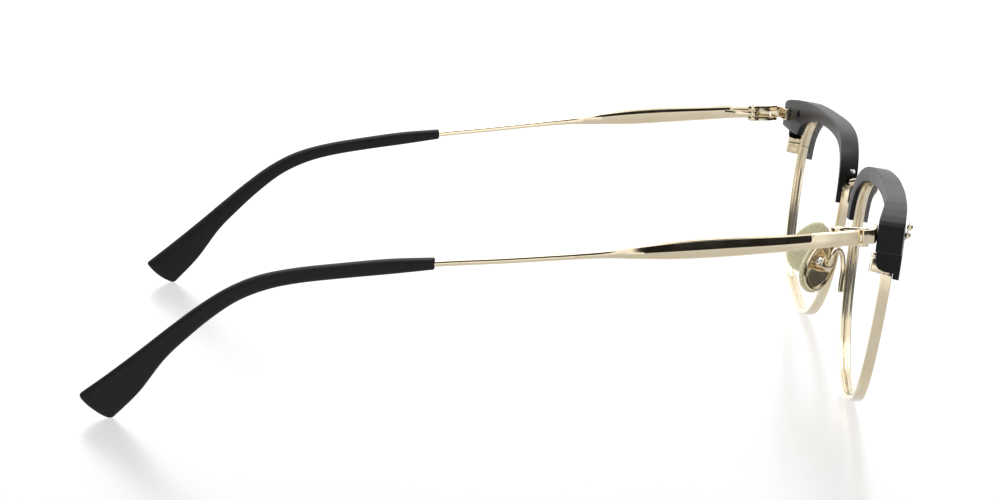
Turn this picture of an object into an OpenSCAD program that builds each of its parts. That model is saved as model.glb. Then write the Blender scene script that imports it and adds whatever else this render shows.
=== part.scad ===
// Browline spectacles: two full metal rims under black brow pieces, a metal
// bridge, screw-on nose pads and flat metal temples that taper to wire and
// end in black sleeves. Millimetres. X across the face (wearer's left is +X),
// Y towards the ears, Z up. The open frame stands on its rims and its two
// temple ends; the origin is the middle of that footprint.

/* [Front] */
// Backward lean of the rims from top to bottom, degrees
front_tilt = 8.6; // [8:0.1:9.2]
// Angle by which each rim turns back towards its temple, degrees
wrap_angle = 2.5; // [2.2:0.1:2.8]
// Radius of the rims' curve seen from above
base_radius = 181; // [170:1:195]
// Radius of the rims' curve seen from the side
face_radius = 240; // [220:1:260]
// Front-to-back depth of the rim wire
rim_depth = 2.05; // [1.9:0.05:2.2]
// Radial thickness of the rim wire
rim_thick = 1.0; // [0.9:0.05:1.2]
// Depth of the lens groove inside the rim
groove = 0.5; // [0.4:0.05:0.6]

/* [Brow] */
// Thickness of the front and rear lips of the brow
brow_lip = 0.85; // [0.75:0.05:1]
// Height of the brow above the rim
brow_rise = 1.55; // [1.3:0.05:1.8]
// Extra depth of the brow at its temple end
brow_extra = 0.45; // [0.2:0.05:0.6]

/* [Hinge] */
// Outer diameter of the hinge barrel
barrel_d = 2.4; // [2.2:0.1:2.6]
// Diameter of the hinge screw
hinge_screw_d = 0.9; // [0.8:0.05:1]
// Radial clearance of the screw in its bores
screw_clear = 0.04; // [0.03:0.01:0.06]

/* [Temple] */
// Diameter of the wire part of the temple
wire_d = 1.2; // [1.1:0.05:1.3]
// Tallest height of the flat part of the temple
blade_h = 3.25; // [3:0.05:3.5]
// Thickness of the flat part of the temple
blade_t = 1.15; // [1:0.05:1.3]

/* [Nose pads] */
// Length of a pad
pad_len = 12.2; // [12:0.1:12.6]
// Width of a pad
pad_wid = 7.0; // [6.7:0.1:7.2]
// Diameter of the wire of a pad arm
arm_d = 1.1; // [1:0.05:1.2]

/* [Hidden] */

gold = [0.84, 0.77, 0.62];
silver = [0.80, 0.80, 0.78];
black = [0.13, 0.14, 0.14];
y_mid = 67.9;                       // moves the middle of the footprint to Y = 0
st = sin(front_tilt);
ct = cos(front_tilt);
z_lift = rim_depth * st;            // puts the lowest point of the rims on Z = 0
gap = 0.03;                         // glue and solder line between fixed pieces

// ---- curves -------------------------------------------------------------
// Outer contour of the left rim, seen from the front, walked from the temple
// side down, across to the nose side, up and back along the top.
rim_pts = [[63.2,27], [62.6,20], [61.2,14], [58.6,8.6], [53.6,4.5], [46.2,1.8],
    [37,0], [28,1.4], [20.6,5], [15.2,10], [11.8,16], [10,22.5], [9.4,28.6],
    [10.3,33.8], [13.8,37.6], [20.4,39.7], [30,40.4], [42,40.4], [52,39.8],
    [58.6,37.9], [62.2,33.4]];
n_rim = len(rim_pts);

function cr(a, b, c, d, u) = 0.5*((2*b) + (c-a)*u + (2*a-5*b+4*c-d)*u*u + (3*b-a-3*c+d)*u*u*u);
function loop_at(p, s) = let(n = len(p), i = floor(s), u = s-i)
    cr(p[(i+n-1)%n], p[(i+n)%n], p[(i+1)%n], p[(i+2)%n], u);
function open_at(p, s) = let(n = len(p), i = min(n-2, max(0, floor(s))), u = s-i,
    b = p[i], c = p[i+1], a = i > 0 ? p[i-1] : 2*b-c, d = i < n-2 ? p[i+2] : 2*c-b)
    cr(a, b, c, d, u);
function table(t, k, s) = s <= t[0][0] ? t[0][k] : s >= t[len(t)-1][0] ? t[len(t)-1][k] :
    let(i = max([for (j = [0:len(t)-2]) if (t[j][0] <= s) j]))
    t[i][k] + (t[i+1][k]-t[i][k])*(s-t[i][0])/(t[i+1][0]-t[i][0]);
function unit(v) = v / norm(v);

// Outline point and outward direction of the rim at s
function rim_at(s) = loop_at(rim_pts, (s+n_rim) % n_rim);
function rim_out(s) = let(d = rim_at(s+0.02) - rim_at(s-0.02)) unit([-d[1], d[0]]);
function rim_off(s, r) = rim_at(s) + r*rim_out(s);

// Rear face of the rims as a height field, then a point at depth d in front of it
function rear_y(x, z) = 1.8 + tan(wrap_angle)*(x-36) + pow(x-36, 2)/(2*base_radius)
    + pow(z-20, 2)/(2*face_radius) - tan(front_tilt)*z;
function at(p, d) = [p[0], rear_y(p[0], p[1]) - d*ct, p[1] - d*st + z_lift];

// ---- sweeps -------------------------------------------------------------
// Skin over a list of rings with the same number of points, capped at both ends
module skin(rings) {
    m = len(rings); k = len(rings[0]);
    polyhedron(points = [for (r = rings) each r],
        faces = concat(
            [[for (j = [0:k-1]) j]],
            [[for (j = [k-1:-1:0]) (m-1)*k+j]],
            [for (i = [0:m-2]) for (j = [0:k-1]) each
                [[i*k+j, (i+1)*k+j, (i+1)*k+(j+1)%k], [i*k+j, (i+1)*k+(j+1)%k, i*k+(j+1)%k]]]));
}
// Round or oval rod along a path: size gives the half height and half width at s
function rod(pts, s0, s1, n, k, hw) = [for (i = [0:n])
    let(s = s0 + (s1-s0)*i/n, c = open_at(pts, s),
        t = unit(open_at(pts, s+0.01) - open_at(pts, s-0.01)),
        w = unit(cross(t, [0,0,1])), h = cross(w, t), q = hw(s))
    [for (j = [0:k-1]) c + w*q[1]*cos(360*j/k) + h*q[0]*sin(360*j/k)]];

function rev(rings) = [for (r = rings) [for (j = [len(r)-1:-1:0]) r[j]]];

module left_at() translate([0,-y_mid,0]) children();
module right_at() translate([0,-y_mid,0]) mirror([1,0,0]) children();

// ---- rims, lenses, closing blocks -----------------------------------------
s_cut = 20.27;                      // where the rim is split, inside the closing block
rim_prof = [[-0.12,0], [0,0.12], [0,rim_depth-0.12], [-0.12,rim_depth],
    [0.12-rim_thick,rim_depth], [-rim_thick,rim_depth-0.12], [-rim_thick,rim_depth/2+groove],
    [groove-rim_thick,rim_depth/2], [-rim_thick,rim_depth/2-groove], [-rim_thick,0.12], [0.12-rim_thick,0]];
module rim() {
    n = 100;
    skin([for (i = [0:n]) let(s = s_cut + 0.02 + (n_rim-0.04)*i/n)
        [for (q = rim_prof) at(rim_off(s, q[0]), q[1])]]);
}
lens_prof = [[0.25,0.35], [0.5,0.35], [0.75,0.35], [1,0.35], [1,0.72], [2,1.125], [1,1.53], [1,1.9],
    [0.75,1.9], [0.5,1.9], [0.25,1.9]];
module lens() {
    n = 63;
    c = [36,21];
    ring = function(q) [for (j = [0:n-1]) let(s = n_rim*j/n,
        e = rim_off(s, q[0] == 2 ? groove-rim_thick-0.12 : -rim_thick-0.1),
        f = q[0] == 2 ? 1 : q[0]) at(c + (e-c)*f, q[1])];
    skin(rev([for (q = lens_prof) ring(q)]));
}
// Half blocks brazed to the two rim ends and drawn together by a screw
blk = [63.715, 32.1];                // centre of the pair, seen from the front
module blk_frame() translate(at([blk[0], blk[1]], 0)) rotate([front_tilt,0,0]) rotate([0,-8,0]) children();
module closing_half(up) {
    difference() {
        translate([-0.98, -1.5, up ? 0.1 : -2.4]) cube([2.25, 3.6, up ? 1.0 : 2.4]);
        translate([0.25,0,0]) cylinder(h = 8, d = 0.98, center = true, $fn = 32);
        if (!up) translate([0.25,0,-2.5]) cylinder(h = 0.75, d = 1.68, $fn = 32);
    }
}
module closing_block() blk_frame() { closing_half(true); closing_half(false); }
module closing_screw() blk_frame() translate([0.25,0,0]) {
    translate([0,0,-2.4]) cylinder(h = 3.45, d = 0.9, $fn = 32);
    difference() {
        translate([0,0,-2.6]) cylinder(h = 0.82, d = 1.6, $fn = 32);
        translate([-1,-0.12,-2.7]) cube([2,0.24,0.4]);
    }
}

// ---- brow ------------------------------------------------------------------
// Outer edge of the brow towards the temple: station along the rim, X and height
brow_edge = [[17,42,41.95], [17.5,48.4,41.95], [18,54,41.95], [18.4,59,41.8], [18.8,64,41.4],
    [19.1,68,40.85], [19.25,70.2,40.3], [19.32,70.9,39.7], [19.5,71,38], [19.7,71,36.4],
    [19.84,71,35.1], [19.88,70.6,34.8], [19.92,67,34.7], [19.95,66.6,34.4], [20.2,66.5,32.8],
    [20.5,66.4,30.8], [20.66,66,29.6]];
function brow_out(s) = s <= 17 ? rim_off(s, brow_rise) : [table(brow_edge,1,s), table(brow_edge,2,s)];
s_nose = 12.05;
s_temple = 20.66;
brow_stations = concat([for (i = [0:40]) s_nose + (17-s_nose)*i/40], [17.25],
    [for (e = [1:len(brow_edge)-1]) brow_edge[e][0]]);
b_screw = [61.4, 38.6];             // screw in the rear face of the brow
module nose_hole() translate([9.49,-4.13,35.55]) rotate([0,122,5.44]) children();
module brow() {
    sorted = brow_stations;
    rings = [for (s = sorted)
        let(k = min(1, max(0, (s-18)/1.2)),
            end = min(1, max(0, (s-20.3)/0.36)),
            dr = -brow_lip - brow_extra*k + 1.2*end, df = rim_depth + brow_lip + brow_extra*k,
            o = brow_out(s), in = min(1, max(0, (s-12.8)/1.2), max(0, (19.9-s)/0.9)),
            li = rim_off(s, -0.95-0.35*in),
            g = rim_off(s, 0.06),
            drop = [0, -0.3*end])
        [at(li, dr), at(o, dr), at(o+drop, df), at(li+drop, df),
         at(li+drop, rim_depth+0.05), at(g+drop*0.5, rim_depth+0.05), at(g, -0.05), at(li, -0.05)]];
    difference() {
        skin(rings);
        // slot that lets the bridge reach the rim
        translate(at([8.6,30.6], 1.12)) rotate([front_tilt,0,0]) cube([3.4, rim_depth+0.1, 5.2], center = true);
        translate([8.55,-4.35,33.45]) cube([3.5, 3.9, 2.5], center = true);
        // pocket for the closing block
        translate(at([65.71,31.1], 0)) rotate([6,0,0]) translate([0,0,-3.1]) linear_extrude(height = 6.2)
            polygon([[0,-rim_depth-0.05], [0,4], [-5,4], [-5,-rim_depth-1.02]]);
        // screw holes from the rear corner and at the nose
        translate(at(b_screw, -1.3)) rotate([-90+front_tilt,0,0]) cylinder(h = 3.4, d = 1.6, center = true, $fn = 32);
        nose_hole() translate([0,0,-0.5]) cylinder(h = 1.2, d = 1.34, $fn = 32);
    }
}
module brow_screw() {
    translate(at(b_screw, -0.42)) rotate([-90+front_tilt,0,0]) difference() {
        cylinder(h = 0.5, d = 1.5, $fn = 32);
        translate([-1,-0.12,0.3]) cube([2,0.24,0.3]);
    }
    nose_hole() difference() {
        translate([0,0,0.2]) cylinder(h = 0.48, d = 1.24, $fn = 32);
        translate([-1,-0.1,0.1]) cube([2,0.2,0.26]);
    }
}
module rivet_plate() translate(at([65.4,38.2], rim_depth+brow_lip+brow_extra+0.27)) rotate([front_tilt+4,0,12]) {
    translate([-0.55,-0.25,-1.5]) cube([1.1,0.25,3.0]);
    for (z = [-0.75,0.75]) translate([0,-0.3,z]) sphere(d = 1.1, $fn = 24);
}

// ---- bridge ----------------------------------------------------------------
bridge_side = [[9.785,-3.28,33.15], [9.3,-3.5,33.2], [8.2,-4.75,33.6], [6.4,-6.0,34.05], [4,-6.8,34.6]];
bridge_pts = concat([for (p = bridge_side) [-p[0],p[1],p[2]]], [[0,-7.25,34.9]], [for (i = [4:-1:0]) bridge_side[i]]);
module bridge_bar() skin(rev(rod(bridge_pts, 0, 10, 40, 14, function(s) [0.85, 0.62])));

// ---- nose pads ---------------------------------------------------------------
pad_c = [8.3, 4.65, 20.0];
pad_l = unit([-0.33,-0.42,0.84]);   // up the pad
pad_n = unit([-0.85,0.40,-0.134]);  // towards the nose
pad_w = cross(pad_n, pad_l);        // forwards across the pad
pad_q = pad_c - 2.3*pad_n;          // pivot
module pad_frame() multmatrix([[pad_w[0],pad_l[0],pad_n[0],pad_q[0]], [pad_w[1],pad_l[1],pad_n[1],pad_q[1]],
    [pad_w[2],pad_l[2],pad_n[2],pad_q[2]], [0,0,0,1]]) children();
function oval(a, b, n) = [for (j = [0:n-1]) let(t = 360*j/n)
    [a*cos(t)*(1 - 0.16*sin(t)), b*sin(t)]];
module nose_pad() pad_frame() skin([for (q = [[0.62,1.42],[0.92,1.50],[1,1.8],[1,2.15],[0.93,2.5],[0.78,2.75],[0.55,2.93],[0.28,3.0]])
    [for (p = oval(pad_wid/2*q[0], pad_len/2*q[0], 40)) [p[0], p[1], q[1]]]]);
module pad_mount() pad_frame() {
    translate([0,0,0.95]) linear_extrude(0.42) polygon(oval(pad_wid/2-0.5, pad_len/2-0.6, 40));
    difference() {
        union() {
            rotate([0,90,0]) cylinder(h = 1.2, d = 1.5, center = true, $fn = 32);
            translate([-0.6,-0.6,0]) cube([1.2,1.2,1.0]);
        }
        rotate([0,90,0]) cylinder(h = 3, d = 0.8+2*screw_clear, center = true, $fn = 32);
    }
}
module pad_box() pad_frame() difference() {
    translate([-1.35,-1.2,-1.45]) cube([2.7,2.4,1.95]);
    translate([-0.7,-1.3,-1.0]) cube([1.4,2.6,3]);
    rotate([0,90,0]) cylinder(h = 4, d = 0.8+2*screw_clear, center = true, $fn = 32);
}
module pad_screw() pad_frame() rotate([0,90,0]) {
    translate([0,0,-1.4]) cylinder(h = 2.85, d = 0.8, $fn = 32);
    difference() {
        translate([0,0,1.38]) cylinder(h = 0.5, d = 1.6, $fn = 32);
        translate([-1,-0.12,1.65]) cube([2,0.24,0.4]);
    }
}
arm_end = pad_q - 1.48*pad_n + 0.2*pad_l;
arm_pts = [[12.8,0.62,15.2], [12.1,0.42,16.9], [11.45,0.1,18.9], [11.25,0.05,20.6], [11.2,0.25,22.2],
    [11.4,0.8,23.3], [11.9,1.7,23.5], [12.3,2.3,22.7], [12.35,2.6,21.7], arm_end - 0.45*pad_n, arm_end];
module pad_arm() skin(rev(rod(arm_pts, 0, 10, 40, 10, function(s) [arm_d/2, arm_d/2])));

// ---- endpiece and hinge --------------------------------------------------------
hinge = [70.4, 9.9];
zh = 37.85;                         // middle of the barrel
// Outer face of the temple line, seen from above: Y, X, middle height, height, thickness
temple_line = [[6,72.0,37.95,2.55,1.05], [9,72.75,37.8,2.6,1.05], [14,73.8,37.5,2.7,1.1], [20,74.5,37.05,2.9,1.15],
    [28,74.9,36.5,3.2,1.15], [34,75,36.05,3.25,1.15], [39,75,35.65,3.0,1.15], [44,74.9,35.25,2.3,1.15],
    [50,74.6,34.75,1.5,1.2], [58,73.9,34.0,1.2,1.2], [68,72.7,33.0,1.2,1.2], [80,71.0,31.9,1.2,1.2],
    [92,69.3,30.45,1.2,1.2], [104,67.5,28.5,1.2,1.2], [112,65.7,25.95,1.2,1.2], [118,64.0,22.4,1.2,1.2], [124,62.2,17.8,1.2,1.2]];
function blade_x(y) = table(temple_line, 1, y);
tab_line = [[66.5,2.57],[68.3,2.925],[69.9,3.3],[70.95,3.62],[71.42,4.25],[71.65,5.0],[71.85,5.7]];
function tab(s, r) = let(t = unit(open_at(tab_line,s+0.01)-open_at(tab_line,s-0.01))) open_at(tab_line,s) + r*[t[1],-t[0]];
module endpiece() {
    // tab behind the brow, bend, then the flared strip
    n = 24;
    translate([0,0,38.05]) linear_extrude(2.5, center = true) polygon(concat(
        [for (i = [0:n]) tab(6*i/n, 0.4)], [for (i = [n:-1:0]) tab(6*i/n, -0.4)]));
}
knuckle = [[zh-1.7,zh-0.78], [zh-0.72,zh+0.3], [zh+0.36,zh+1.6]];
module bore() translate([hinge[0],hinge[1],zh-4]) cylinder(h = 8, d = hinge_screw_d+2*screw_clear, $fn = 32);
module hinge_front() difference() {
    union() for (k = [knuckle[0], knuckle[2]]) translate([0,0,k[0]]) {
        translate([hinge[0],hinge[1],0]) cylinder(h = k[1]-k[0], d = barrel_d, $fn = 40);
        linear_extrude(k[1]-k[0]) polygon(concat([for (s = [4.0:0.4:5.6]) tab(s, -0.405)], [[70.85,5.9], [70.75,9.2],
            [hinge[0]+0.6,hinge[1]-0.6], [hinge[0]-1.0,hinge[1]-0.4], [69.75,8.4], [69.9,6.3]]));
    }
    bore();
    translate([hinge[0],hinge[1],knuckle[2][1]-0.45]) cylinder(h = 2, d = 1.66, $fn = 40);
}
module hinge_temple() difference() {
    union() {
        translate([hinge[0],hinge[1],knuckle[1][0]]) cylinder(h = knuckle[1][1]-knuckle[1][0], d = barrel_d, $fn = 40);
        translate([0,0,knuckle[1][0]]) linear_extrude(knuckle[1][1]-knuckle[1][0])
            polygon(concat([[hinge[0]-0.9,hinge[1]+0.8], [hinge[0]+1.1,hinge[1]+0.45]],
                [for (y = [11:0.5:16]) [blade_x(y)-1.125, y]], [[71.9,16]]));
    }
    bore();
}
module hinge_screw() {
    translate([hinge[0],hinge[1],zh-1.66]) cylinder(h = 3.2, d = hinge_screw_d, $fn = 32);
    difference() {
        translate([hinge[0],hinge[1],knuckle[2][1]-0.42]) cylinder(h = 0.4, d = 1.58, $fn = 40);
        translate([hinge[0]-1,hinge[1]-0.11,knuckle[2][1]-0.2]) cube([2,0.22,0.4]);
    }
}

// ---- temples ---------------------------------------------------------------------
function tl(i, k) = temple_line[i][k];
spine = [for (e = temple_line) [e[1]-e[4]/2, e[0], e[2]]];
blade_size = function(s) let(i = min(len(temple_line)-2, floor(s)), u = s-i)
    [(tl(i,3)*(1-u)+tl(i+1,3)*u)/2, (tl(i,4)*(1-u)+tl(i+1,4)*u)/2];
// Section: a flat bar with bevelled long edges that turns round as it narrows
function bar_section(c, w, h, q, flat) = [for (j = [0:15]) let(a = 360*(j+0.5)/16,
    e = flat > 0 ? 0.5 : 1, ca = cos(a), sa = sin(a),
    m = 1 - flat + flat*min(1/max(abs(ca),0.2), 1.25/max(abs(sa)+0.35*abs(ca),0.2)))
    c + w*q[1]*max(-1,min(1,ca*m)) + h*q[0]*max(-1,min(1,sa*m))];
n_tmp = 64;
m_tmp = len(spine)-1;
function bar_ring(i, grow) = let(s = m_tmp*i/n_tmp, c = open_at(spine, s),
    t = unit(open_at(spine, min(m_tmp,s+0.01)) - open_at(spine, max(0,s-0.01))),
    w = unit(cross(t, [0,0,1])), h = cross(w, t), q = blade_size(s),
    flat = min(1, max(0, (q[0]-0.62)/0.4)))
    bar_section(c, w, h, q + [grow,grow], flat);
module temple() skin(rev([for (i = [0:n_tmp]) bar_ring(i, 0)]));

// Sleeve: its upper and lower edges seen from the side, its X and half thickness
sleeve_line = [[80,32.98,80,30.85,70.4,1.05], [88,32.4,87.7,29.72,69.35,1.15], [96.4,31.3,95.8,28.62,68.25,1.15],
    [104.7,29.98,103.6,27.38,66.9,1.15], [111.3,28.25,109.4,25.85,65.6,1.15], [116.8,25.6,114.6,23.45,64.2,1.15],
    [121.9,22.05,119.3,20.0,62.7,1.15], [127.1,17.85,123.8,15.95,61.3,1.15], [132.4,13.4,128.2,11.45,60.2,1.15],
    [138.3,8.6,132.9,5.1,59.1,1.15], [144.1,4.1,138.1,-0.33,57.7,1.05]];
m_sl = len(sleeve_line)-1;
up_edge = [for (e = sleeve_line) [e[4], e[0], e[1]]];
low_edge = [for (e = sleeve_line) [e[4], e[2], e[3]]];
sl_end = 0.8;                       // radius of the tip's corners
function sleeve_ring(s) = let(a = open_at(up_edge, s), b = open_at(low_edge, s), k = min(m_sl-1, floor(s)), u = s-k,
    v = (a-b)/2, hh = norm(v), ww = sleeve_line[k][5]*(1-u) + sleeve_line[k+1][5]*u,
    q = (m_sl-s)*6.9, r = q < sl_end ? sl_end - sqrt(max(0, sl_end*sl_end - pow(sl_end-q,2))) : 0,
    t = unit(open_at(up_edge, min(m_sl,s+0.01)) - open_at(up_edge, max(0,s-0.01))), w = unit(cross(t, v)))
    [for (j = [0:15]) (a+b)/2 + w*(ww-min(0.7*ww,0.7*r))*cos(22.5*(j+0.5)) + v*(1-r/hh)*sin(22.5*(j+0.5))];
sleeve_stations = concat([for (i = [0:38]) (m_sl-0.2)*i/38], [for (q = [0.8,0.55,0.3,0.12,0.02]) m_sl - q/6.9]);
// One skin: the blind hole for the wire from its deep end out, then the outside
module temple_sleeve() skin(rev(concat(
    [for (i = [n_tmp:-1:44]) [for (p = bar_ring(i, 0.03)) p + (i == n_tmp ? 0.15 : 0)*unit(spine[m_tmp]-spine[m_tmp-1])]],
    [for (s = sleeve_stations) sleeve_ring(s)])));

module c_gold() color(gold) children();
module c_black() color(black) children();
module c_silver() color(silver) children();

module rim_left() c_gold() left_at() rim();
module rim_right() c_gold() right_at() rim();
module closing_block_left() c_gold() left_at() closing_block();
module closing_block_right() c_gold() right_at() closing_block();
module closing_screw_left() c_silver() left_at() closing_screw();
module closing_screw_right() c_silver() right_at() closing_screw();
module lens_left() color([0.9,0.95,0.97,0.3]) left_at() lens();
module lens_right() color([0.9,0.95,0.97,0.3]) right_at() lens();
module bridge() c_gold() left_at() bridge_bar();
module pad_arm_left() c_gold() left_at() pad_arm();
module pad_arm_right() c_gold() right_at() pad_arm();
module pad_box_left() c_gold() left_at() pad_box();
module pad_box_right() c_gold() right_at() pad_box();
module pad_screw_left() c_silver() left_at() pad_screw();
module pad_screw_right() c_silver() right_at() pad_screw();
module pad_mount_left() c_gold() left_at() pad_mount();
module pad_mount_right() c_gold() right_at() pad_mount();
module nose_pad_left() color([0.8,0.79,0.66,0.7]) left_at() nose_pad();
module nose_pad_right() color([0.8,0.79,0.66,0.7]) right_at() nose_pad();
module brow_left() c_black() left_at() brow();
module brow_right() c_black() right_at() brow();
module brow_screw_left() c_silver() left_at() brow_screw();
module brow_screw_right() c_silver() right_at() brow_screw();
module rivet_plate_left() c_gold() left_at() rivet_plate();
module rivet_plate_right() c_gold() right_at() rivet_plate();
module endpiece_left() c_gold() left_at() endpiece();
module endpiece_right() c_gold() right_at() endpiece();
module hinge_front_left() c_gold() left_at() hinge_front();
module hinge_front_right() c_gold() right_at() hinge_front();
module hinge_screw_left() c_silver() left_at() hinge_screw();
module hinge_screw_right() c_silver() right_at() hinge_screw();
module hinge_temple_left() c_gold() left_at() hinge_temple();
module hinge_temple_right() c_gold() right_at() hinge_temple();
module temple_left() c_gold() left_at() temple();
module temple_right() c_gold() right_at() temple();
module temple_sleeve_left() c_black() left_at() temple_sleeve();
module temple_sleeve_right() c_black() right_at() temple_sleeve();

rim_left();
rim_right();
closing_block_left();
closing_block_right();
closing_screw_left();
closing_screw_right();
lens_left();
lens_right();
bridge();
pad_arm_left();
pad_arm_right();
pad_box_left();
pad_box_right();
pad_screw_left();
pad_screw_right();
pad_mount_left();
pad_mount_right();
nose_pad_left();
nose_pad_right();
brow_left();
brow_right();
brow_screw_left();
brow_screw_right();
rivet_plate_left();
rivet_plate_right();
endpiece_left();
endpiece_right();
hinge_front_left();
hinge_front_right();
hinge_screw_left();
hinge_screw_right();
hinge_temple_left();
hinge_temple_right();
temple_left();
temple_right();
temple_sleeve_left();
temple_sleeve_right();
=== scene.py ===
import bpy, bmesh, math
import numpy as np
from mathutils import Matrix, Vector


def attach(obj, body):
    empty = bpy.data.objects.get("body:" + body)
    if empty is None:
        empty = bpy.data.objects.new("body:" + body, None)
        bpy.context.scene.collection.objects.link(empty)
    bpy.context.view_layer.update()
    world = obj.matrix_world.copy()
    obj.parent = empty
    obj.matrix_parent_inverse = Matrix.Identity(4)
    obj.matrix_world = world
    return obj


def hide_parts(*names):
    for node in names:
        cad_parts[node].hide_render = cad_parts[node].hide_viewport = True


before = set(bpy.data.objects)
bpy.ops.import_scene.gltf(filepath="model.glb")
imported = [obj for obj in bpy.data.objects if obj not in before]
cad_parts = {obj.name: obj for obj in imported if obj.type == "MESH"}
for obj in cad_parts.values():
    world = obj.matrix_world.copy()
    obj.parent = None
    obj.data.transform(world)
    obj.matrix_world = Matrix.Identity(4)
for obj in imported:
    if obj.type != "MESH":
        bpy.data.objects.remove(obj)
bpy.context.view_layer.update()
YM = 67.9

# ---------------------------------------------------------------- camera
def make_camera():
    a, e, r = math.radians(-91.14), math.radians(11.56), math.radians(1.07)
    back = Vector((math.sin(a) * math.cos(e), -math.cos(a) * math.cos(e), math.sin(e)))
    right = Vector((math.cos(a), math.sin(a), 0))
    up = right.cross(-back)
    right2 = right * math.cos(r) + up * math.sin(r)
    up2 = up * math.cos(r) - right * math.sin(r)
    cam = bpy.data.cameras.new("view_camera")
    cam.lens, cam.sensor_width, cam.sensor_fit = 101.56, 36, "HORIZONTAL"
    cam.clip_start, cam.clip_end = 0.01, 20
    ob = bpy.data.objects.new("view_camera", cam)
    bpy.context.scene.collection.objects.link(ob)
    m = Matrix.Identity(4)
    for i, c in enumerate((right2, up2, back)):
        for k in range(3):
            m[k][i] = c[k]
    m.translation = Vector((-0.552107, (78.227 - YM) / 1000, 0.133042))
    ob.matrix_world = m
    bpy.context.scene.camera = ob
make_camera()

# ---------------------------------------------------------------- curves (millimetres)
def cr(a, b, c, d, u):
    a, b, c, d = (np.asarray(v, float) for v in (a, b, c, d))
    return 0.5 * ((2 * b) + (c - a) * u + (2 * a - 5 * b + 4 * c - d) * u * u + (3 * b - a - 3 * c + d) * u ** 3)
def loop_at(p, s):
    n = len(p); i = int(math.floor(s)); u = s - i
    return cr(p[(i - 1) % n], p[i % n], p[(i + 1) % n], p[(i + 2) % n], u)
def open_at(p, s):
    p = [np.asarray(v, float) for v in p]
    n = len(p); i = min(n - 2, max(0, int(math.floor(s)))); u = s - i
    b, c = p[i], p[i + 1]
    a = p[i - 1] if i > 0 else 2 * b - c
    d = p[i + 2] if i < n - 2 else 2 * c - b
    return cr(a, b, c, d, u)
def table(t, k, s):
    return float(np.interp(s, [r[0] for r in t], [r[k] for r in t]))
def unit(v):
    v = np.asarray(v, float)
    return v / np.linalg.norm(v)
def sstep(x):
    x = min(1.0, max(0.0, x))
    return x * x * (3 - 2 * x)

RIM_PTS = [[63.2,27],[62.6,20],[61.2,14],[58.6,8.6],[53.6,4.5],[46.2,1.8],[37,0],[28,1.4],[20.6,5],[15.2,10],[11.8,16],
           [10,22.5],[9.4,28.6],[10.3,33.8],[13.8,37.6],[20.4,39.7],[30,40.4],[42,40.4],[52,39.8],[58.6,37.9],[62.2,33.4]]
NR = len(RIM_PTS)
TILT = 8.6
ST, CT = math.sin(math.radians(TILT)), math.cos(math.radians(TILT))
DEPTH, THICK, GROOVE = 2.05, 1.0, 0.5
LIP, RISE, EXTRA = 0.85, 1.55, 0.45
ZL = DEPTH * ST
def rim_at(s): return loop_at(RIM_PTS, (s + NR) % NR)
def rim_out(s):
    d = rim_at(s + 0.02) - rim_at(s - 0.02)
    return unit([-d[1], d[0]])
def rim_off(s, r): return rim_at(s) + r * rim_out(s)
def rear_y(x, z):
    return 1.8 + math.tan(math.radians(2.5)) * (x - 36) + (x - 36) ** 2 / 362 + (z - 20) ** 2 / 480 - math.tan(math.radians(TILT)) * z
def at(p, d): return np.array([p[0], rear_y(p[0], p[1]) - d * CT, p[1] - d * ST + ZL])

# ---------------------------------------------------------------- mesh helpers
def rings_mesh(rings, caps=True, loop=False):
    m, k = len(rings), len(rings[0])
    v = [np.asarray(p, float) for r in rings for p in r]
    f = []
    for i in range(m if loop else m - 1):
        a, b = i * k, ((i + 1) % m) * k
        for j in range(k):
            j2 = (j + 1) % k
            f.append((a + j, b + j, b + j2, a + j2))
    if caps and not loop:
        f.append(tuple(range(k)))
        f.append(tuple(reversed(range((m - 1) * k, m * k))))
    return v, f

def to_object(name, v, f, side=1, sharp=40, fix=True):
    """Makes a mesh object from millimetre points in the unshifted frame."""
    v = [(p[0] * side / 1000, (p[1] - YM) / 1000, p[2] / 1000) for p in v]
    me = bpy.data.meshes.new(name)
    me.from_pydata(v, [], f if side > 0 else [tuple(reversed(q)) for q in f])
    me.update()
    if fix:
        bm = bmesh.new(); bm.from_mesh(me)
        bmesh.ops.remove_doubles(bm, verts=bm.verts, dist=1e-7)
        bmesh.ops.recalc_face_normals(bm, faces=bm.faces)
        bm.to_mesh(me); bm.free()
    for p in me.polygons: p.use_smooth = True
    if sharp: me.set_sharp_from_angle(angle=math.radians(sharp))
    ob = bpy.data.objects.new(name, me)
    bpy.context.scene.collection.objects.link(ob)
    return ob

def apply_mods(ob):
    dg = bpy.context.evaluated_depsgraph_get()
    me = bpy.data.meshes.new_from_object(ob.evaluated_get(dg))
    ob.modifiers.clear()
    old = ob.data
    ob.data = me
    bpy.data.meshes.remove(old)
    return ob

def finish_piece(ob, body, slot, mat, *nodes):
    ob.data.materials.clear(); ob.data.materials.append(mat)
    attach(ob, body)
    if nodes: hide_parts(*nodes)
    return ob

# ---------------------------------------------------------------- materials
def new_mat(name):
    m = bpy.data.materials.new(name); m.use_nodes = True
    nt = m.node_tree; b = nt.nodes["Principled BSDF"]
    return m, nt, b
def N(nt, kind, **kw):
    n = nt.nodes.new(kind)
    for k, v in kw.items(): setattr(n, k, v)
    return n
def coords(nt, scale=(1, 1, 1)):
    tc = N(nt, "ShaderNodeTexCoord"); mp = N(nt, "ShaderNodeMapping")
    mp.inputs["Scale"].default_value = scale
    nt.links.new(tc.outputs["Object"], mp.inputs["Vector"])
    return mp.outputs["Vector"]
def noise(nt, vec, scale, detail=4, rough=0.55, dist=0.0):
    n = N(nt, "ShaderNodeTexNoise")
    n.inputs["Scale"].default_value = scale; n.inputs["Detail"].default_value = detail
    n.inputs["Roughness"].default_value = rough; n.inputs["Distortion"].default_value = dist
    nt.links.new(vec, n.inputs["Vector"])
    return n.outputs["Fac"]
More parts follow.
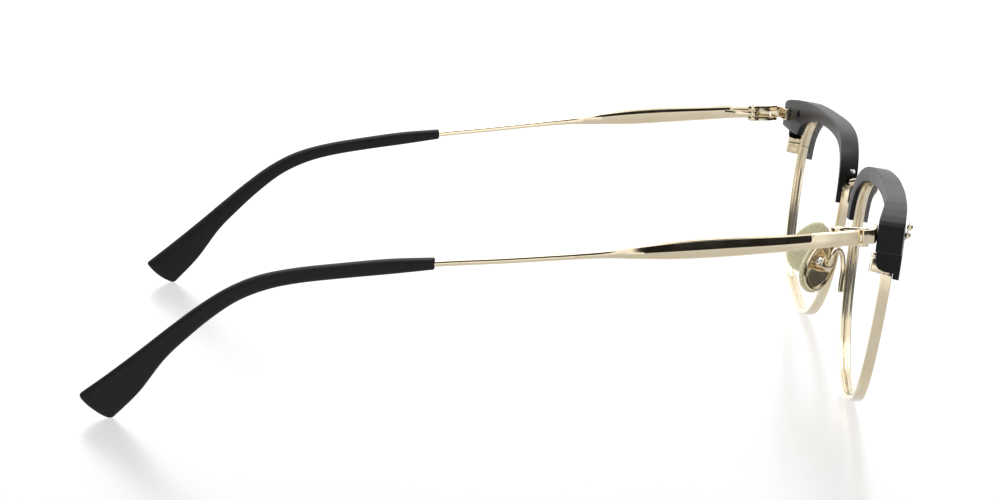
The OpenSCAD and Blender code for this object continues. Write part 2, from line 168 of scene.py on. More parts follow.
def ramp(nt, fac, stops):
    r = N(nt, "ShaderNodeValToRGB"); e = r.color_ramp.elements
    while len(e) < len(stops): e.new(0.5)
    for q, (p, c) in zip(e, stops):
        q.position = p; q.color = (*c, 1) if len(c) == 3 else c
    nt.links.new(fac, r.inputs["Fac"])
    return r.outputs["Color"]
def mrange(nt, fac, a, b, lo=0.0, hi=1.0):
    r = N(nt, "ShaderNodeMapRange")
    r.inputs["From Min"].default_value = lo; r.inputs["From Max"].default_value = hi
    r.inputs["To Min"].default_value = a; r.inputs["To Max"].default_value = b
    nt.links.new(fac, r.inputs["Value"])
    return r.outputs["Result"]
def bump(nt, fac, strength, dist, prev=None):
    b = N(nt, "ShaderNodeBump")
    b.inputs["Strength"].default_value = strength; b.inputs["Distance"].default_value = dist
    nt.links.new(fac, b.inputs["Height"])
    if prev is not None: nt.links.new(prev, b.inputs["Normal"])
    return b.outputs["Normal"]

def metal(name, c1, c2, r1, r2, brush, marks=0.05):
    m, nt, b = new_mat(name)
    b.inputs["Metallic"].default_value = 1.0
    v = coords(nt); vb = coords(nt, brush)
    tone = noise(nt, v, 90, 3)
    nt.links.new(ramp(nt, tone, [(0.35, c1), (0.65, c2)]), b.inputs["Base Color"])
    grain = noise(nt, vb, 900, 5, 0.6)
    smear = noise(nt, v, 260, 4, 0.6, 0.4)
    mix = N(nt, "ShaderNodeMath", operation="MULTIPLY"); nt.links.new(grain, mix.inputs[0]); nt.links.new(smear, mix.inputs[1])
    nt.links.new(mrange(nt, mix.outputs[0], r1, r2, 0.12, 0.42), b.inputs["Roughness"])
    n1 = bump(nt, grain, marks, 0.00002)
    nt.links.new(bump(nt, noise(nt, v, 1500, 3), marks * 0.6, 0.00002, n1), b.inputs["Normal"])
    return m

def plastic(name, c1, c2, r1, r2, grain_scale, grain):
    m, nt, b = new_mat(name)
    v = coords(nt)
    nt.links.new(ramp(nt, noise(nt, v, 900, 4), [(0.3, c1), (0.7, c2)]), b.inputs["Base Color"])
    nt.links.new(mrange(nt, noise(nt, v, 1600, 4, 0.6), r1, r2, 0.3, 0.7), b.inputs["Roughness"])
    n1 = bump(nt, noise(nt, v, grain_scale, 4, 0.65), grain, 0.00004)
    nt.links.new(bump(nt, noise(nt, v, 1800, 3), 0.08, 0.00002, n1), b.inputs["Normal"])
    return m, nt, b

GOLD = metal("pale_gold_plate", (0.78, 0.675, 0.49), (0.83, 0.73, 0.54), 0.08, 0.19, (1, 0.12, 1), 0.03)
SILVER = metal("bright_screw_steel", (0.80, 0.79, 0.77), (0.88, 0.87, 0.85), 0.10, 0.26, (1, 1, 0.2))
BROW, nt, b = plastic("satin_black_brow", (0.0062, 0.0064, 0.0058), (0.0088, 0.0090, 0.0082), 0.34, 0.41, 5200, 0.06)
b.inputs["Specular IOR Level"].default_value = 0.17
SLEEVE, nt, b = plastic("soft_black_sleeve", (0.0055, 0.0058, 0.006), (0.0085, 0.0086, 0.009), 0.44, 0.58, 4200, 0.14)
b.inputs["Specular IOR Level"].default_value = 0.24

def silicone():
    m, nt, b = new_mat("clear_silicone")
    v = coords(nt)
    nt.links.new(ramp(nt, noise(nt, v, 220, 4), [(0.3, (0.77, 0.73, 0.50)), (0.7, (0.80, 0.76, 0.53))]), b.inputs["Base Color"])
    nt.links.new(mrange(nt, noise(nt, v, 700, 4), 0.22, 0.38, 0.3, 0.7), b.inputs["Roughness"])
    b.inputs["Subsurface Weight"].default_value = 0.35
    b.inputs["Subsurface Radius"].default_value = (0.0015, 0.0013, 0.0008)
    b.inputs["Subsurface Scale"].default_value = 1.0
    b.inputs["Transmission Weight"].default_value = 0.35
    b.inputs["IOR"].default_value = 1.41
    nt.links.new(bump(nt, noise(nt, v, 900, 3), 0.05, 0.00002), b.inputs["Normal"])
    return m
PAD = silicone()

def lens_mat():
    m, nt, b = new_mat("clear_lens")
    v = coords(nt)
    nt.links.new(ramp(nt, noise(nt, v, 30, 2), [(0.3, (0.93, 0.97, 0.95)), (0.7, (0.97, 0.98, 0.99))]), b.inputs["Base Color"])
    nt.links.new(mrange(nt, noise(nt, v, 120, 4), 0.01, 0.05, 0.3, 0.7), b.inputs["Roughness"])
    nt.links.new(mrange(nt, noise(nt, v, 60, 3), 0.035, 0.055, 0.3, 0.7), b.inputs["Alpha"])
    b.inputs["IOR"].default_value = 1.5
    return m
LENS = lens_mat()

# ---------------------------------------------------------------- rims and lenses
S_CUT = 20.27
def round_poly(pts, r, n=3):
    """Corners of a closed polygon rounded with n segments."""
    out = []; m = len(pts)
    for i in range(m):
        p, a, b = (np.asarray(pts[k % m], float) for k in (i, i - 1, i + 1))
        da, db = unit(a - p), unit(b - p)
        la, lb = np.linalg.norm(a - p), np.linalg.norm(b - p)
        q = min(r if not isinstance(r, (list, tuple)) else r[i], la * 0.45, lb * 0.45)
        if q <= 1e-6:
            out.append(p); continue
        for k in range(n + 1):
            t = k / n
            out.append((1 - t) ** 2 * (p + da * q) + 2 * t * (1 - t) * p + t * t * (p + db * q))
    return out
rp = [[0, 0], [0, DEPTH], [-THICK, DEPTH], [-THICK, DEPTH / 2 + GROOVE], [GROOVE - THICK, DEPTH / 2], [-THICK, DEPTH / 2 - GROOVE], [-THICK, 0]]
RIM_SEC = round_poly(rp, [0.22, 0.22, 0.18, 0.08, 0.02, 0.08, 0.18], 4)
def rim_rings(n=520):
    out = []
    for i in range(n + 1):
        s = S_CUT + 0.012 + (NR - 0.024) * i / n
        out.append([at(rim_off(s, q[0]), q[1]) for q in RIM_SEC])
    return out
LENS_PROF = [[0.25,0.35],[0.5,0.35],[0.75,0.35],[1,0.35],[1,0.72],[2,1.125],[1,1.53],[1,1.9],[0.75,1.9],[0.5,1.9],[0.25,1.9]]
def lens_rings(n=180):
    c = np.array([36, 21.0]); out = []
    for q in LENS_PROF:
        r = []
        for j in range(n):
            s = NR * j / n
            e = rim_off(s, GROOVE - THICK - 0.12 if q[0] == 2 else -THICK - 0.1)
            r.append(at(c + (e - c) * (1 if q[0] == 2 else q[0]), q[1]))
        out.append(r)
    return out
rv, rf = rings_mesh(rim_rings())
lv, lf = rings_mesh(lens_rings())
for side, sd in ((1, "left"), (-1, "right")):
    finish_piece(to_object("rim_wire_" + sd, rv, rf, side, 32), "front", "gold_metal", GOLD, "rim_" + sd)
    finish_piece(to_object("clear_lens_" + sd, lv, lf, side, 20), "front", "lens", LENS, "lens_" + sd)

# ---------------------------------------------------------------- brows
BROW_EDGE = [[17,42,41.95],[17.5,48.4,41.95],[18,54,41.95],[18.4,59,41.8],[18.8,64,41.4],[19.1,68,40.85],[19.25,70.2,40.3],
             [19.32,70.9,39.7],[19.5,71,38],[19.7,71,36.4],[19.84,71,34.92],[19.88,70.85,34.76],[19.92,67,34.7],[19.95,66.6,34.4],
             [20.2,66.5,32.8],[20.5,66.4,30.8],[20.66,66,29.6]]
S_NOSE = 12.05
def brow_out(s):
    return rim_off(s, RISE) if s <= 17 else np.array([table(BROW_EDGE, 1, s), table(BROW_EDGE, 2, s)])
def brow_ring(s):
    k = min(1, max(0, (s - 18) / 1.2)); end = min(1, max(0, (s - 20.3) / 0.36))
    inn = min(1, max(0, (s - 12.8) / 1.2), max(0, (19.9 - s) / 0.9))
    dr = -LIP - EXTRA * k + 1.2 * end; df = DEPTH + LIP + EXTRA * k
    o, li = brow_out(s), rim_off(s, -0.95 - 0.35 * inn)
    g = rim_off(s, 0.06)
    drop = np.array([0, -0.3 * end])
    return [at(li, dr), at(o, dr), at(o + drop, df), at(li + drop, df), at(li + drop, DEPTH + 0.05),
            at(g + drop * 0.5, DEPTH + 0.05), at(g, -0.05), at(li, -0.05)]
def stations():
    st = [S_NOSE + (17 - S_NOSE) * i / 110 for i in range(110)] + [17 + 1.8 * i / 40 for i in range(40)]
    for a, b in zip(BROW_EDGE[4:-1], BROW_EDGE[5:]):
        st += [a[0] + (b[0] - a[0]) * i / 4 for i in range(4)]
    return st + [BROW_EDGE[-1][0]]
bv, bf = rings_mesh([round_poly(brow_ring(s), [0.30, 0.42, 0.42, 0.30, 0.15, 0.10, 0.10, 0.15], 4) for s in stations()])
def cyl(p, axis, r, h, n=40, r2=None):
    """A cylinder or cone from p along axis."""
    axis = unit(axis); u = unit(np.cross(axis, [0.3, 0.9, 0.1])); w = np.cross(axis, u)
    r2 = r if r2 is None else r2
    rr = [[np.asarray(p) + axis * q * h + (u * math.cos(2 * math.pi * j / n) + w * math.sin(2 * math.pi * j / n)) * (r + (r2 - r) * q) for j in range(n)] for q in (0, 1)]
    return rings_mesh(rr)
def boxmesh(c, sx, sy, sz, tilt=0):
    ct, st = math.cos(math.radians(tilt)), math.sin(math.radians(tilt))
    v = []
    for x in (-1, 1):
        for y in (-1, 1):
            for z in (-1, 1):
                px, py, pz = x * sx / 2, y * sy / 2, z * sz / 2
                v.append(np.asarray(c) + np.array([px, py * ct - pz * st, py * st + pz * ct]))
    return v, [(0, 1, 3, 2), (4, 6, 7, 5), (0, 4, 5, 1), (2, 3, 7, 6), (0, 2, 6, 4), (1, 5, 7, 3)]
def pocket():
    """Room for the closing block behind the front lip."""
    o = at([65.71, 31.1], 0); c6, s6 = math.cos(math.radians(6)), math.sin(math.radians(6))
    poly = [[0, -DEPTH - 0.05], [0, 4], [-5, 4], [-5, -DEPTH - 1.02]]
    rr = [[o + np.array([x, y * c6 - z * s6, y * s6 + z * c6]) for x, y in poly] for z in (-3.1, 3.1)]
    return rings_mesh(rr)
SCREW = np.array([61.4, 38.6])
back_dir = np.array([0, CT, ST])
NOSE_P = np.array([9.49, -4.13, 35.55])
_q, _w = math.radians(122), math.radians(5.44)
NOSE_D = np.array([math.sin(_q) * math.cos(_w), math.sin(_q) * math.sin(_w), math.cos(_q)])
def foot_cut():
    """Ends the wall behind the front lip a little higher than the lip, with a slanted edge."""
    o = at([66, 29.2], 0); c6, s6 = math.cos(math.radians(6)), math.sin(math.radians(6))
    pts = [[-DEPTH - 0.12, -2], [5, -2], [5, 4.4], [1.7, 3.4], [0.6, 1.7], [-0.6, 1.25], [-DEPTH - 0.12, 1.15]]
    rr = [[o + np.array([x, (y + 0.194 * x) * c6 - z * s6, (y + 0.194 * x) * s6 + z * c6]) for y, z in pts] for x in (-5, 4)]
    return rings_mesh(rr)
def volume(me):
    bm = bmesh.new(); bm.from_mesh(me); v = abs(bm.calc_volume()) * 1e9; bm.free()
    return v
def cut(ob, tools):
    """Takes the tools out of ob one by one; a solver whose result is empty or too big is passed over."""
    for t in tools:
        v0 = volume(ob.data)
        for kind in ("EXACT", "MANIFOLD", "FLOAT"):
            md = ob.modifiers.new("b", "BOOLEAN"); md.operation = "DIFFERENCE"; md.object = t; md.solver = kind
            bpy.context.view_layer.update()
            me = bpy.data.meshes.new_from_object(ob.evaluated_get(bpy.context.evaluated_depsgraph_get()))
            ob.modifiers.clear()
            v1 = volume(me)
            if v0 * 0.8 < v1 < v0 - 0.01:
                ob.data = me
                break
            bpy.data.meshes.remove(me)
    for t in tools: bpy.data.objects.remove(t)
made = None
for side, sd in ((-1, "right"), (1, "left")):
    if made is None:
        ob = to_object("brow_shell_" + sd, bv, bf, side, 0)
        md = ob.modifiers.new("ends", "BEVEL"); md.width = 0.00026; md.segments = 3
        md.limit_method = "ANGLE"; md.angle_limit = math.radians(50)
        bpy.context.view_layer.update()
        apply_mods(ob)
        cut(ob, [to_object("t1", *boxmesh(at([8.6, 30.6], 1.12), 3.4, DEPTH + 0.1, 5.2, TILT), side, 0),
                 to_object("t4", *boxmesh([8.55, -4.35, 33.45], 3.5, 3.9, 2.5), side, 0),
                 to_object("t5", *pocket(), side, 0),
                 to_object("t2", *cyl(at(SCREW, -0.35), back_dir, 0.8, 3.0), side, 0),
                 to_object("t3", *cyl(NOSE_P - 0.5 * NOSE_D, NOSE_D, 0.67, 1.2), side, 0),
                 to_object("t6", *foot_cut(), side, 0)])
        for p in ob.data.polygons: p.use_smooth = True
        ob.data.set_sharp_from_angle(angle=math.radians(32))
        made = ob
    else:
        me = made.data.copy()
        me.transform(Matrix.Scale(-1, 4, (1, 0, 0))); me.flip_normals(); me.update()
        ob = bpy.data.objects.new("brow_shell_" + sd, me)
        bpy.context.scene.collection.objects.link(ob)
    finish_piece(ob, "front", "black_brow", BROW, "brow_" + sd)

# ---------------------------------------------------------------- rods
def rod_rings(pts, n, k, hh, ww, ends=0.0, up=(0, 0, 1)):
    m = len(pts) - 1; out = []
    for i in range(n + 1):
        s = m * i / n
        c = open_at(pts, s); t = unit(open_at(pts, min(m, s + 0.01)) - open_at(pts, max(0, s - 0.01)))
        w = unit(np.cross(t, up)); h = np.cross(w, t)
        out.append([c + w * ww * math.cos(2 * math.pi * j / k) + h * hh * math.sin(2 * math.pi * j / k) for j in range(k)])
    return out
def round_end(rings, r, at_end=True):
    """Adds shrinking rings that round off one end of a rod."""
    a = np.mean(rings[-1], 0) if at_end else np.mean(rings[0], 0)
    b = np.mean(rings[-2], 0) if at_end else np.mean(rings[1], 0)
    d = unit(a - b); base = rings[-1] if at_end else rings[0]; extra = []
    for q in (0.35, 0.65, 0.85, 0.96):
        sc = math.sqrt(1 - q * q)
        extra.append([a + (p - a) * (0.25 + 0.75 * sc) - d * r * (1 - q) for p in base])
    base2 = [p - d * r for p in base]
    if at_end: return rings[:-1] + [base2] + extra
    return list(reversed(extra)) + [base2] + rings[1:]

BR_SIDE = [[9.785,-3.28,33.15],[9.3,-3.5,33.2],[8.2,-4.75,33.6],[6.4,-6.0,34.05],[4,-6.8,34.6]]
BRIDGE = [[-p[0], p[1], p[2]] for p in BR_SIDE] + [[0,-7.25,34.9]] + BR_SIDE[::-1]
bo = to_object("bridge_bar", *rings_mesh(rod_rings(BRIDGE, 90, 28, 0.85, 0.62)), 1, 50)
finish_piece(bo, "front", "gold_metal", GOLD, "bridge")

# ---------------------------------------------------------------- temples
TL = [[6,72.0,37.95,2.55,1.05],[9,72.75,37.8,2.6,1.05],[14,73.8,37.5,2.7,1.1],[20,74.5,37.05,2.9,1.15],[28,74.9,36.5,3.2,1.15],
      [34,75,36.05,3.25,1.15],[39,75,35.65,3.0,1.15],[44,74.9,35.25,2.3,1.15],[50,74.6,34.75,1.5,1.2],[58,73.9,34.0,1.2,1.2],
      [68,72.7,33.0,1.2,1.2],[80,71.0,31.9,1.2,1.2],[92,69.3,30.45,1.2,1.2],[104,67.5,28.5,1.2,1.2],[112,65.7,25.95,1.2,1.2],
      [118,64.0,22.4,1.2,1.2],[124,62.2,17.8,1.2,1.2]]
SPINE = [[e[1] - e[4] / 2, e[0], e[2]] for e in TL]
MT = len(SPINE) - 1
def temple_section(H, W, y, flat):
    """Outline (outward, up) of the bar: a ridge below the middle, a tilted upper facet, small bevels."""
    def side(sg, depth):
        pts = [(W - 0.30, -H), (W - 0.10, -0.86 * H), (W, -0.30 * H)]
        lo_z = -0.06 if sg > 0 else 0.42
        for q in (0.0, 0.33, 0.66, 1.0):
            z = lo_z * H + q * (0.8 - lo_z) * H
            y0 = 14.2 + 0.45 * (0.8 * H - z)
            pts.append((W - depth * q * sstep((y - y0) / 0.5) * sstep((49 - y) / 9), z))
        top_in = depth * sstep((y - 14.2) / 0.5) * sstep((49 - y) / 9)
        pts.append((W - top_in - 0.16, 0.93 * H)); pts.append((W - top_in - 0.34, H))
        return [(sg * a, b) for a, b in pts]
    o = side(1, 0.42); i = side(-1, 0.17)
    poly = o + list(reversed(i))
    n = len(poly)
    out = []
    for j, (a, b) in enumerate(poly):
        ang = math.atan2(b / H, a / W)
        out.append((flat * a + (1 - flat) * W * math.cos(ang), flat * b + (1 - flat) * H * math.sin(ang)))
    return out
def temple_rings():
    ss = []
    y = 0.0
    st = list(np.linspace(0, 0.5, 8)) + list(np.linspace(0.5, 2.1, 34))[1:] + list(np.linspace(2.1, 2.5, 26))[1:] + list(np.linspace(2.5, 10, 130))[1:] + list(np.linspace(10, MT, 60))[1:]
    out = []
    for s in st:
        c = open_at(SPINE, s)
        t = unit(open_at(SPINE, min(MT, s + 0.01)) - open_at(SPINE, max(0, s - 0.01)))
        w = unit(np.cross(t, [0, 0, 1])); h = np.cross(w, t)
        i = min(MT - 1, int(s)); u = s - i
        H = (TL[i][3] * (1 - u) + TL[i + 1][3] * u) / 2; W = (TL[i][4] * (1 - u) + TL[i + 1][4] * u) / 2
        H = float(open_at([[e[3] / 2] for e in TL], s)[0]); H = max(H, 0.6)
        flat = sstep((H - 0.60) / 0.42)
        if s < 0.06: pass
        # the front end curves in towards the joint with the endpiece
        nip = 0.34 * max(0.0, 1 - (c[1] - 6) / 1.5) ** 1.6
        out.append([c + w * (a - (nip if a > 0 else 0)) + h * b for a, b in temple_section(H, W, c[1], flat)])
    # small bevel round the front end
    c0 = np.mean(out[0], 0); d = unit(np.mean(out[1], 0) - c0)
    out = [[c0 + (p - c0) * 0.84 for p in out[0]], [c0 + (p - c0) * 0.95 + d * 0.05 for p in out[0]], [p + d * 0.16 for p in out[0]]] + out[2:]
    return out
tv, tf = rings_mesh(temple_rings())

# ---------------------------------------------------------------- sleeves
SL = [[80,32.98,80,30.85,70.4,1.05],[88,32.4,87.7,29.72,69.35,1.15],[96.4,31.3,95.8,28.62,68.25,1.15],[104.7,29.98,103.6,27.38,66.9,1.15],
      [111.3,28.25,109.4,25.85,65.6,1.15],[116.8,25.6,114.6,23.45,64.2,1.15],[121.9,22.05,119.3,20.0,62.7,1.15],
      [127.1,17.85,123.8,15.95,61.3,1.15],[132.4,13.4,128.2,11.45,60.2,1.15],[138.3,8.6,132.9,5.1,59.1,1.15],[144.1,4.1,138.1,-0.33,57.7,1.05]]
MS = len(SL) - 1
UP = [[e[4], e[0], e[1]] for e in SL]; LO = [[e[4], e[2], e[3]] for e in SL]
def sleeve_ring(s, K=36, shrink=0.0, push=0.0, scale=1.0):
    a, b = open_at(UP, s), open_at(LO, s)
    k = min(MS - 1, int(s)); u = s - k
    v = (a - b) / 2; hh = np.linalg.norm(v); ww = SL[k][5] * (1 - u) + SL[k + 1][5] * u
    t = unit(open_at(UP, min(MS, s + 0.01)) - open_at(UP, max(0, s - 0.01))); w = unit(np.cross(t, v))
    ax = unit(np.cross(v, w)); c = (a + b) / 2
    if np.dot(ax, t) < 0: ax = -ax
    out = []
    for j in range(K):
        g = 2 * math.pi * (j + 0.5) / K; cg, sg = math.cos(g), math.sin(g)
        e = 0.80                                        # slightly square section
        x = math.copysign(abs(cg) ** e, cg); z = math.copysign(abs(sg) ** e, sg)
        x *= scale; z *= scale
        out.append(c + w * (ww - min(0.75 * ww, shrink * 0.75)) * x + v * (1 - shrink / hh) * z + ax * push * (1 - z * z) * (1 - 0.3 * x * x))
    return out
def sleeve_rings():
    rings = []
    # rim of the hole, then the outside
    for sc, ds in ((0.62, 0.10), (0.66, 0.0), (0.80, -0.012), (0.93, 0.0)):
        rings.append(sleeve_ring(max(0.0, ds + 0.012), scale=sc))
    L = 6.9
    for i in range(150):
        s = 0.03 + (MS - 0.16 - 0.03) * i / 149
        rings.append(sleeve_ring(s, push=0.0))
    r = 0.8
    for q in (0.75, 0.6, 0.45, 0.32, 0.2, 0.1, 0.03):
        sh = r - math.sqrt(max(0, r * r - (r - q) ** 2))
        rings.append(sleeve_ring(MS - q / L, shrink=sh, push=0.45 * (1 - q / 0.8) ** 0.7))
    for sc in (0.8, 0.55, 0.3, 0.08):
        rings.append(sleeve_ring(MS - 0.01 / L, shrink=0.7, push=0.45, scale=sc))
    return rings
sv, sf = rings_mesh(sleeve_rings())
for side, sd in ((1, "left"), (-1, "right")):
    finish_piece(to_object("temple_bar_" + sd, tv, tf, side, 14), "temple_%s_body" % sd, "gold_metal", GOLD, "temple_" + sd)
    finish_piece(to_object("sleeve_" + sd, sv, sf, side, 60), "temple_%s_body" % sd, "black_sleeve", SLEEVE, "temple_sleeve_" + sd)

# ---------------------------------------------------------------- nose pads
PL = unit([-0.33, -0.42, 0.84]); PN = unit([-0.85, 0.40, -0.134]); PW = np.cross(PN, PL)
PC = np.array([8.3, 4.65, 20.0]); PQ = PC - 2.3 * PN
def pf(w, l, n): return PQ + PW * w + PL * l + PN * n
def oval(a, b, n):
    return [(a * math.cos(2 * math.pi * j / n) * (1 - 0.16 * math.sin(2 * math.pi * j / n)), b * math.sin(2 * math.pi * j / n)) for j in range(n)]
PW2, PL2 = 3.5, 6.1
def pad_rings(prof, n=72):
    return [[pf(x, y, q[1]) for x, y in oval(PW2 * q[0], PL2 * (1 - (1 - q[0]) * PW2 / PL2 * 1.0), n)] for q in prof]
pad_prof = [(0.02,1.62),(0.5,1.6),(0.80,1.55),(0.90,1.42),(0.95,1.45),(0.985,1.6),(1.0,1.85),(0.995,2.1),(0.96,2.35),(0.89,2.55),(0.78,2.7),(0.62,2.84),(0.42,2.94),(0.2,2.99),(0.03,3.0)]
cup_prof = [(0.02,0.98),(0.3,0.96),(0.62,0.95),(0.70,0.82),(0.76,0.62),(0.80,0.55),(0.84,0.58),(0.86,0.72),(0.87,0.95),(0.88,1.2),(0.86,1.36),(0.5,1.37),(0.02,1.37)]
pv, pfc = rings_mesh(pad_rings(pad_prof))
cv, cf = rings_mesh(pad_rings(cup_prof))
def lathe_frame(prof, n, centre, ax, u):
    ax = unit(ax); u = unit(u); w = np.cross(ax, u)
    return [[np.asarray(centre) + ax * h + (u * math.cos(2 * math.pi * j / n) + w * math.sin(2 * math.pi * j / n)) * r for j in range(n)] for r, h in prof]
lug = lathe_frame([(0.05,-0.6),(0.6,-0.6),(0.72,-0.52),(0.75,-0.4),(0.75,0.4),(0.72,0.52),(0.6,0.6),(0.05,0.6)], 36, PQ, PW, PN)
ARM_END = PQ - 1.48 * PN + 0.2 * PL
ARM = [[12.8,0.62,15.2],[12.1,0.42,16.9],[11.45,0.1,18.9],[11.25,0.05,20.6],[11.2,0.25,22.2],[11.4,0.8,23.3],[11.9,1.7,23.5],
       [12.3,2.3,22.7],[12.35,2.6,21.7], list(ARM_END - 0.45 * PN), list(ARM_END)]
av, af = rings_mesh(round_end(rod_rings(ARM, 110, 24, 0.48, 0.48), 0.42, False))
def rounded_block(sx, sy, sz, r, centre, n=4):
    """Block with rounded edges in the pad frame (w, l, n)."""
    bm = bmesh.new(); bmesh.ops.create_cube(bm, size=1)
    for v in bm.verts: v.co = Vector((v.co.x * sx, v.co.y * sy, v.co.z * sz))
    bmesh.ops.bevel(bm, geom=list(bm.edges), offset=r, segments=n, profile=0.5, affect="EDGES")
    v = [pf(centre[0] + q.co.x, centre[1] + q.co.y, centre[2] + q.co.z) for q in bm.verts]
    bm.verts.index_update(); f = [tuple(w.index for w in p.verts) for p in bm.faces]
    bm.free()
    return v, f
def merge(*parts):
    v, f = [], []
    for a, b in parts:
        f += [tuple(i + len(v) for i in q) for q in b]; v += list(a)
    return v, f
box_parts = merge(rounded_block(0.62, 2.3, 1.9, 0.28, (-1.03, 0, -0.48)), rounded_block(0.62, 2.3, 1.9, 0.28, (1.03, 0, -0.48)),
                  rounded_block(2.6, 2.3, 0.44, 0.2, (0, 0, -1.22)))
dome = rings_mesh(lathe_frame([(0.03,0.46),(0.4,0.43),(0.74,0.34),(0.98,0.2),(1.1,0.0),(1.1,-0.3),(0.05,-0.3)], 36, pf(-1.34, 0, -0.05), -PW, PN))
screw_head = rings_mesh(lathe_frame([(0.03,0.42),(0.2,0.42),(0.26,0.34),(0.30,0.42),(0.6,0.40),(0.78,0.28),(0.84,0.08),(0.84,-0.02),(0.45,-0.02),(0.4,-0.1),(0.4,-2.8),(0.05,-2.8)], 36, pf(1.36, 0, 0), PW, PN))
for side, sd in ((1, "left"), (-1, "right")):
    body = "nose_pad_%s_body" % sd
    finish_piece(to_object("pad_face_" + sd, pv, pfc, side, 60), body, "soft_pad", PAD, "nose_pad_" + sd)
    cup = to_object("pad_cup_" + sd, *merge((cv, cf), rings_mesh(lug), rounded_block(1.18, 1.1, 1.0, 0.12, (0, 0, 0.55))), side, 40)
    finish_piece(cup, body, "gold_metal", GOLD, "pad_mount_" + sd)
    finish_piece(to_object("arm_wire_" + sd, av, af, side, 60), "front", "gold_metal", GOLD, "pad_arm_" + sd)
    finish_piece(to_object("pad_housing_" + sd, *merge(box_parts, dome), side, 50), "front", "gold_metal", GOLD, "pad_box_" + sd)
    finish_piece(to_object("pad_pin_" + sd, *screw_head, side, 40), "front", "silver_screw", SILVER, "pad_screw_" + sd)

# ---------------------------------------------------------------- small CAD pieces that stay: bevelled edges, own finish
def dress(node, mat, width, seg=3, angle=35):
    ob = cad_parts[node]
    ob.data.materials.clear(); ob.data.materials.append(mat)
    md = ob.modifiers.new("weld", "WELD"); md.merge_threshold = 2e-6
    md = ob.modifiers.new("bevel", "BEVEL"); md.width = width; md.segments = seg; md.limit_method = "ANGLE"; md.angle_limit = math.radians(angle)
    md.harden_normals = False
    for p in ob.data.polygons: p.use_smooth = True
for sd in ("left", "right"):
    dress("closing_block_" + sd, GOLD, 0.00022)
    dress("closing_screw_" + sd, SILVER, 0.00007, 2)
    dress("brow_screw_" + sd, SILVER, 0.00008, 2)
    dress("rivet_plate_" + sd, GOLD, 0.00006, 2)
    dress("endpiece_" + sd, GOLD, 0.00018, 3, 50)
    dress("hinge_front_" + sd, GOLD, 0.00008, 2)
    dress("hinge_temple_" + sd, GOLD, 0.00008, 2)
    dress("hinge_screw_" + sd, SILVER, 0.00006, 2)

# ---------------------------------------------------------------- floor, cards and light
def plane(name, centre, normal, sx, sy, up=(0, 0, 1)):
    n = Vector(normal).normalized(); u = Vector(up).cross(n)
    if u.length < 1e-4: u = Vector((1, 0, 0))
    u.normalize(); w = n.cross(u); c = Vector(centre)
    me = bpy.data.meshes.new(name)
    me.from_pydata([c - u * sx / 2 - w * sy / 2, c + u * sx / 2 - w * sy / 2, c + u * sx / 2 + w * sy / 2, c - u * sx / 2 + w * sy / 2], [], [(0, 1, 2, 3)])
    ob = bpy.data.objects.new(name, me); bpy.context.scene.collection.objects.link(ob)
    return ob
floor = plane("floor", (0, 0, -0.00003), (0, 0, 1), 14, 14)
m = bpy.data.materials.new("gloss_white_floor"); m.use_nodes = True
nt = m.node_tree; nt.nodes.clear()
out = N(nt, "ShaderNodeOutputMaterial"); add = N(nt, "ShaderNodeAddShader"); mx = N(nt, "ShaderNodeMixShader")
em = N(nt, "ShaderNodeEmission"); em.inputs["Strength"].default_value = 0.69; em.inputs["Color"].default_value = (1, 1, 1, 1)
no = N(nt, "ShaderNodeEmission"); no.inputs["Strength"].default_value = 0.0
gl = N(nt, "ShaderNodeBsdfGlossy"); gl.inputs["Color"].default_value = (1, 1, 1, 1); gl.inputs["Roughness"].default_value = 0.24
fr = N(nt, "ShaderNodeFresnel"); fr.inputs["IOR"].default_value = 1.6
nt.links.new(fr.outputs[0], mx.inputs[0]); nt.links.new(no.outputs[0], mx.inputs[1]); nt.links.new(gl.outputs[0], mx.inputs[2])
nt.links.new(em.outputs[0], add.inputs[0]); nt.links.new(mx.outputs[0], add.inputs[1]); nt.links.new(add.outputs[0], out.inputs[0])
floor.data.materials.append(m)

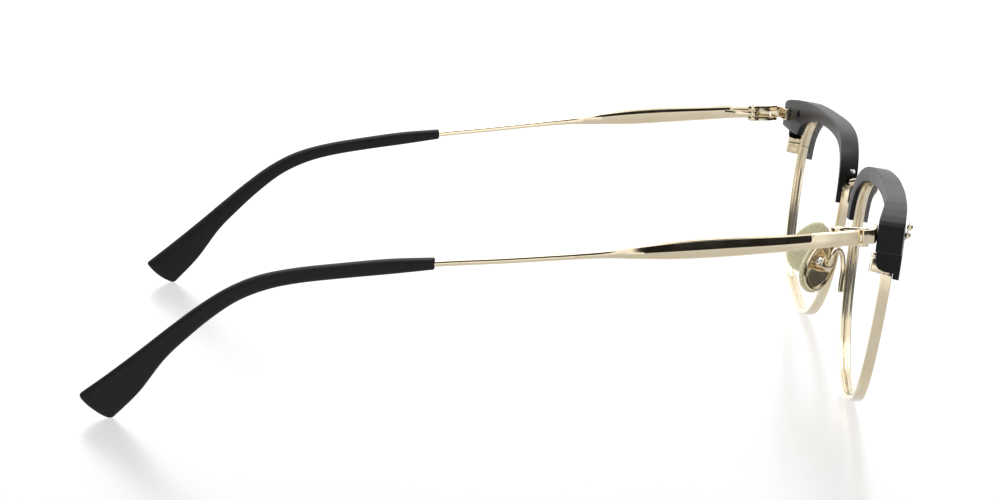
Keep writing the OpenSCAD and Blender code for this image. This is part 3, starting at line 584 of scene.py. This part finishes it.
# Studio sky: bright sweep behind the object and overhead, dark room on the camera side
w = bpy.data.worlds.new("studio"); bpy.context.scene.world = w; w.use_nodes = True
nt = w.node_tree; bg = nt.nodes["Background"]
tc = N(nt, "ShaderNodeTexCoord")
def lobe(direction, inner, outer):
    """1 inside the cone around a direction, 0 outside, softly."""
    d = N(nt, "ShaderNodeVectorMath", operation="DOT_PRODUCT"); d.inputs[1].default_value = Vector(direction).normalized()
    nt.links.new(tc.outputs["Generated"], d.inputs[0])
    r = N(nt, "ShaderNodeMapRange", interpolation_type="SMOOTHSTEP")
    r.inputs["From Min"].default_value = math.cos(math.radians(outer)); r.inputs["From Max"].default_value = math.cos(math.radians(inner))
    nt.links.new(d.outputs["Value"], r.inputs["Value"])
    return r.outputs["Result"]
def minus(a, b, k):
    m1 = N(nt, "ShaderNodeMath", operation="MULTIPLY"); nt.links.new(b, m1.inputs[0]); m1.inputs[1].default_value = k
    m2 = N(nt, "ShaderNodeMath", operation="SUBTRACT"); m2.use_clamp = False
    if isinstance(a, float): m2.inputs[0].default_value = a
    else: nt.links.new(a, m2.inputs[0])
    nt.links.new(m1.outputs[0], m2.inputs[1])
    return m2.outputs[0]
lum = minus(1.28, lobe((-1, 0, 0.74), 23, 34), 1.265)
lum = minus(lum, lobe((-0.35, 1, 0.25), 14, 40), 0.45)
lum = minus(lum, lobe((-0.25, -1, 0.30), 16, 42), 0.7)
nt.links.new(lum, bg.inputs["Strength"])
bg.inputs["Color"].default_value = (1, 1, 1, 1)
def flag(name, y):
    """Black card beside the set: it draws the dark edge lines on the polished metal."""
    ob = plane(name, (-0.1, y, 0.11), (0, -math.copysign(1, y), 0), 0.7, 0.26)
    m = bpy.data.materials.new(name); m.use_nodes = True
    nt = m.node_tree; b = nt.nodes["Principled BSDF"]
    nt.links.new(ramp(nt, noise(nt, coords(nt), 20, 3), [(0.3, (0.01, 0.01, 0.01)), (0.7, (0.02, 0.018, 0.016))]), b.inputs["Base Color"])
    b.inputs["Roughness"].default_value = 0.9
    b.inputs["Specular IOR Level"].default_value = 0.0
    ob.data.materials.append(m)
    ob.visible_camera = False; ob.visible_shadow = False; ob.visible_diffuse = False
flag("flag_front", -0.30)
flag("flag_rear", 0.36)
def area(name, loc, target, sx, sy, power):
    l = bpy.data.lights.new(name, "AREA"); l.shape = "RECTANGLE"; l.size, l.size_y, l.energy = sx, sy, power
    ob = bpy.data.objects.new(name, l); bpy.context.scene.collection.objects.link(ob)
    ob.location = loc
    ob.rotation_euler = (Vector(target) - Vector(loc)).to_track_quat("-Z", "Y").to_euler()
    return ob
area("top_softbox", (0.25, 0.0, 0.9), (0, 0, 0), 0.7, 0.5, 4)

bpy.context.scene.view_settings.view_transform = "Standard"
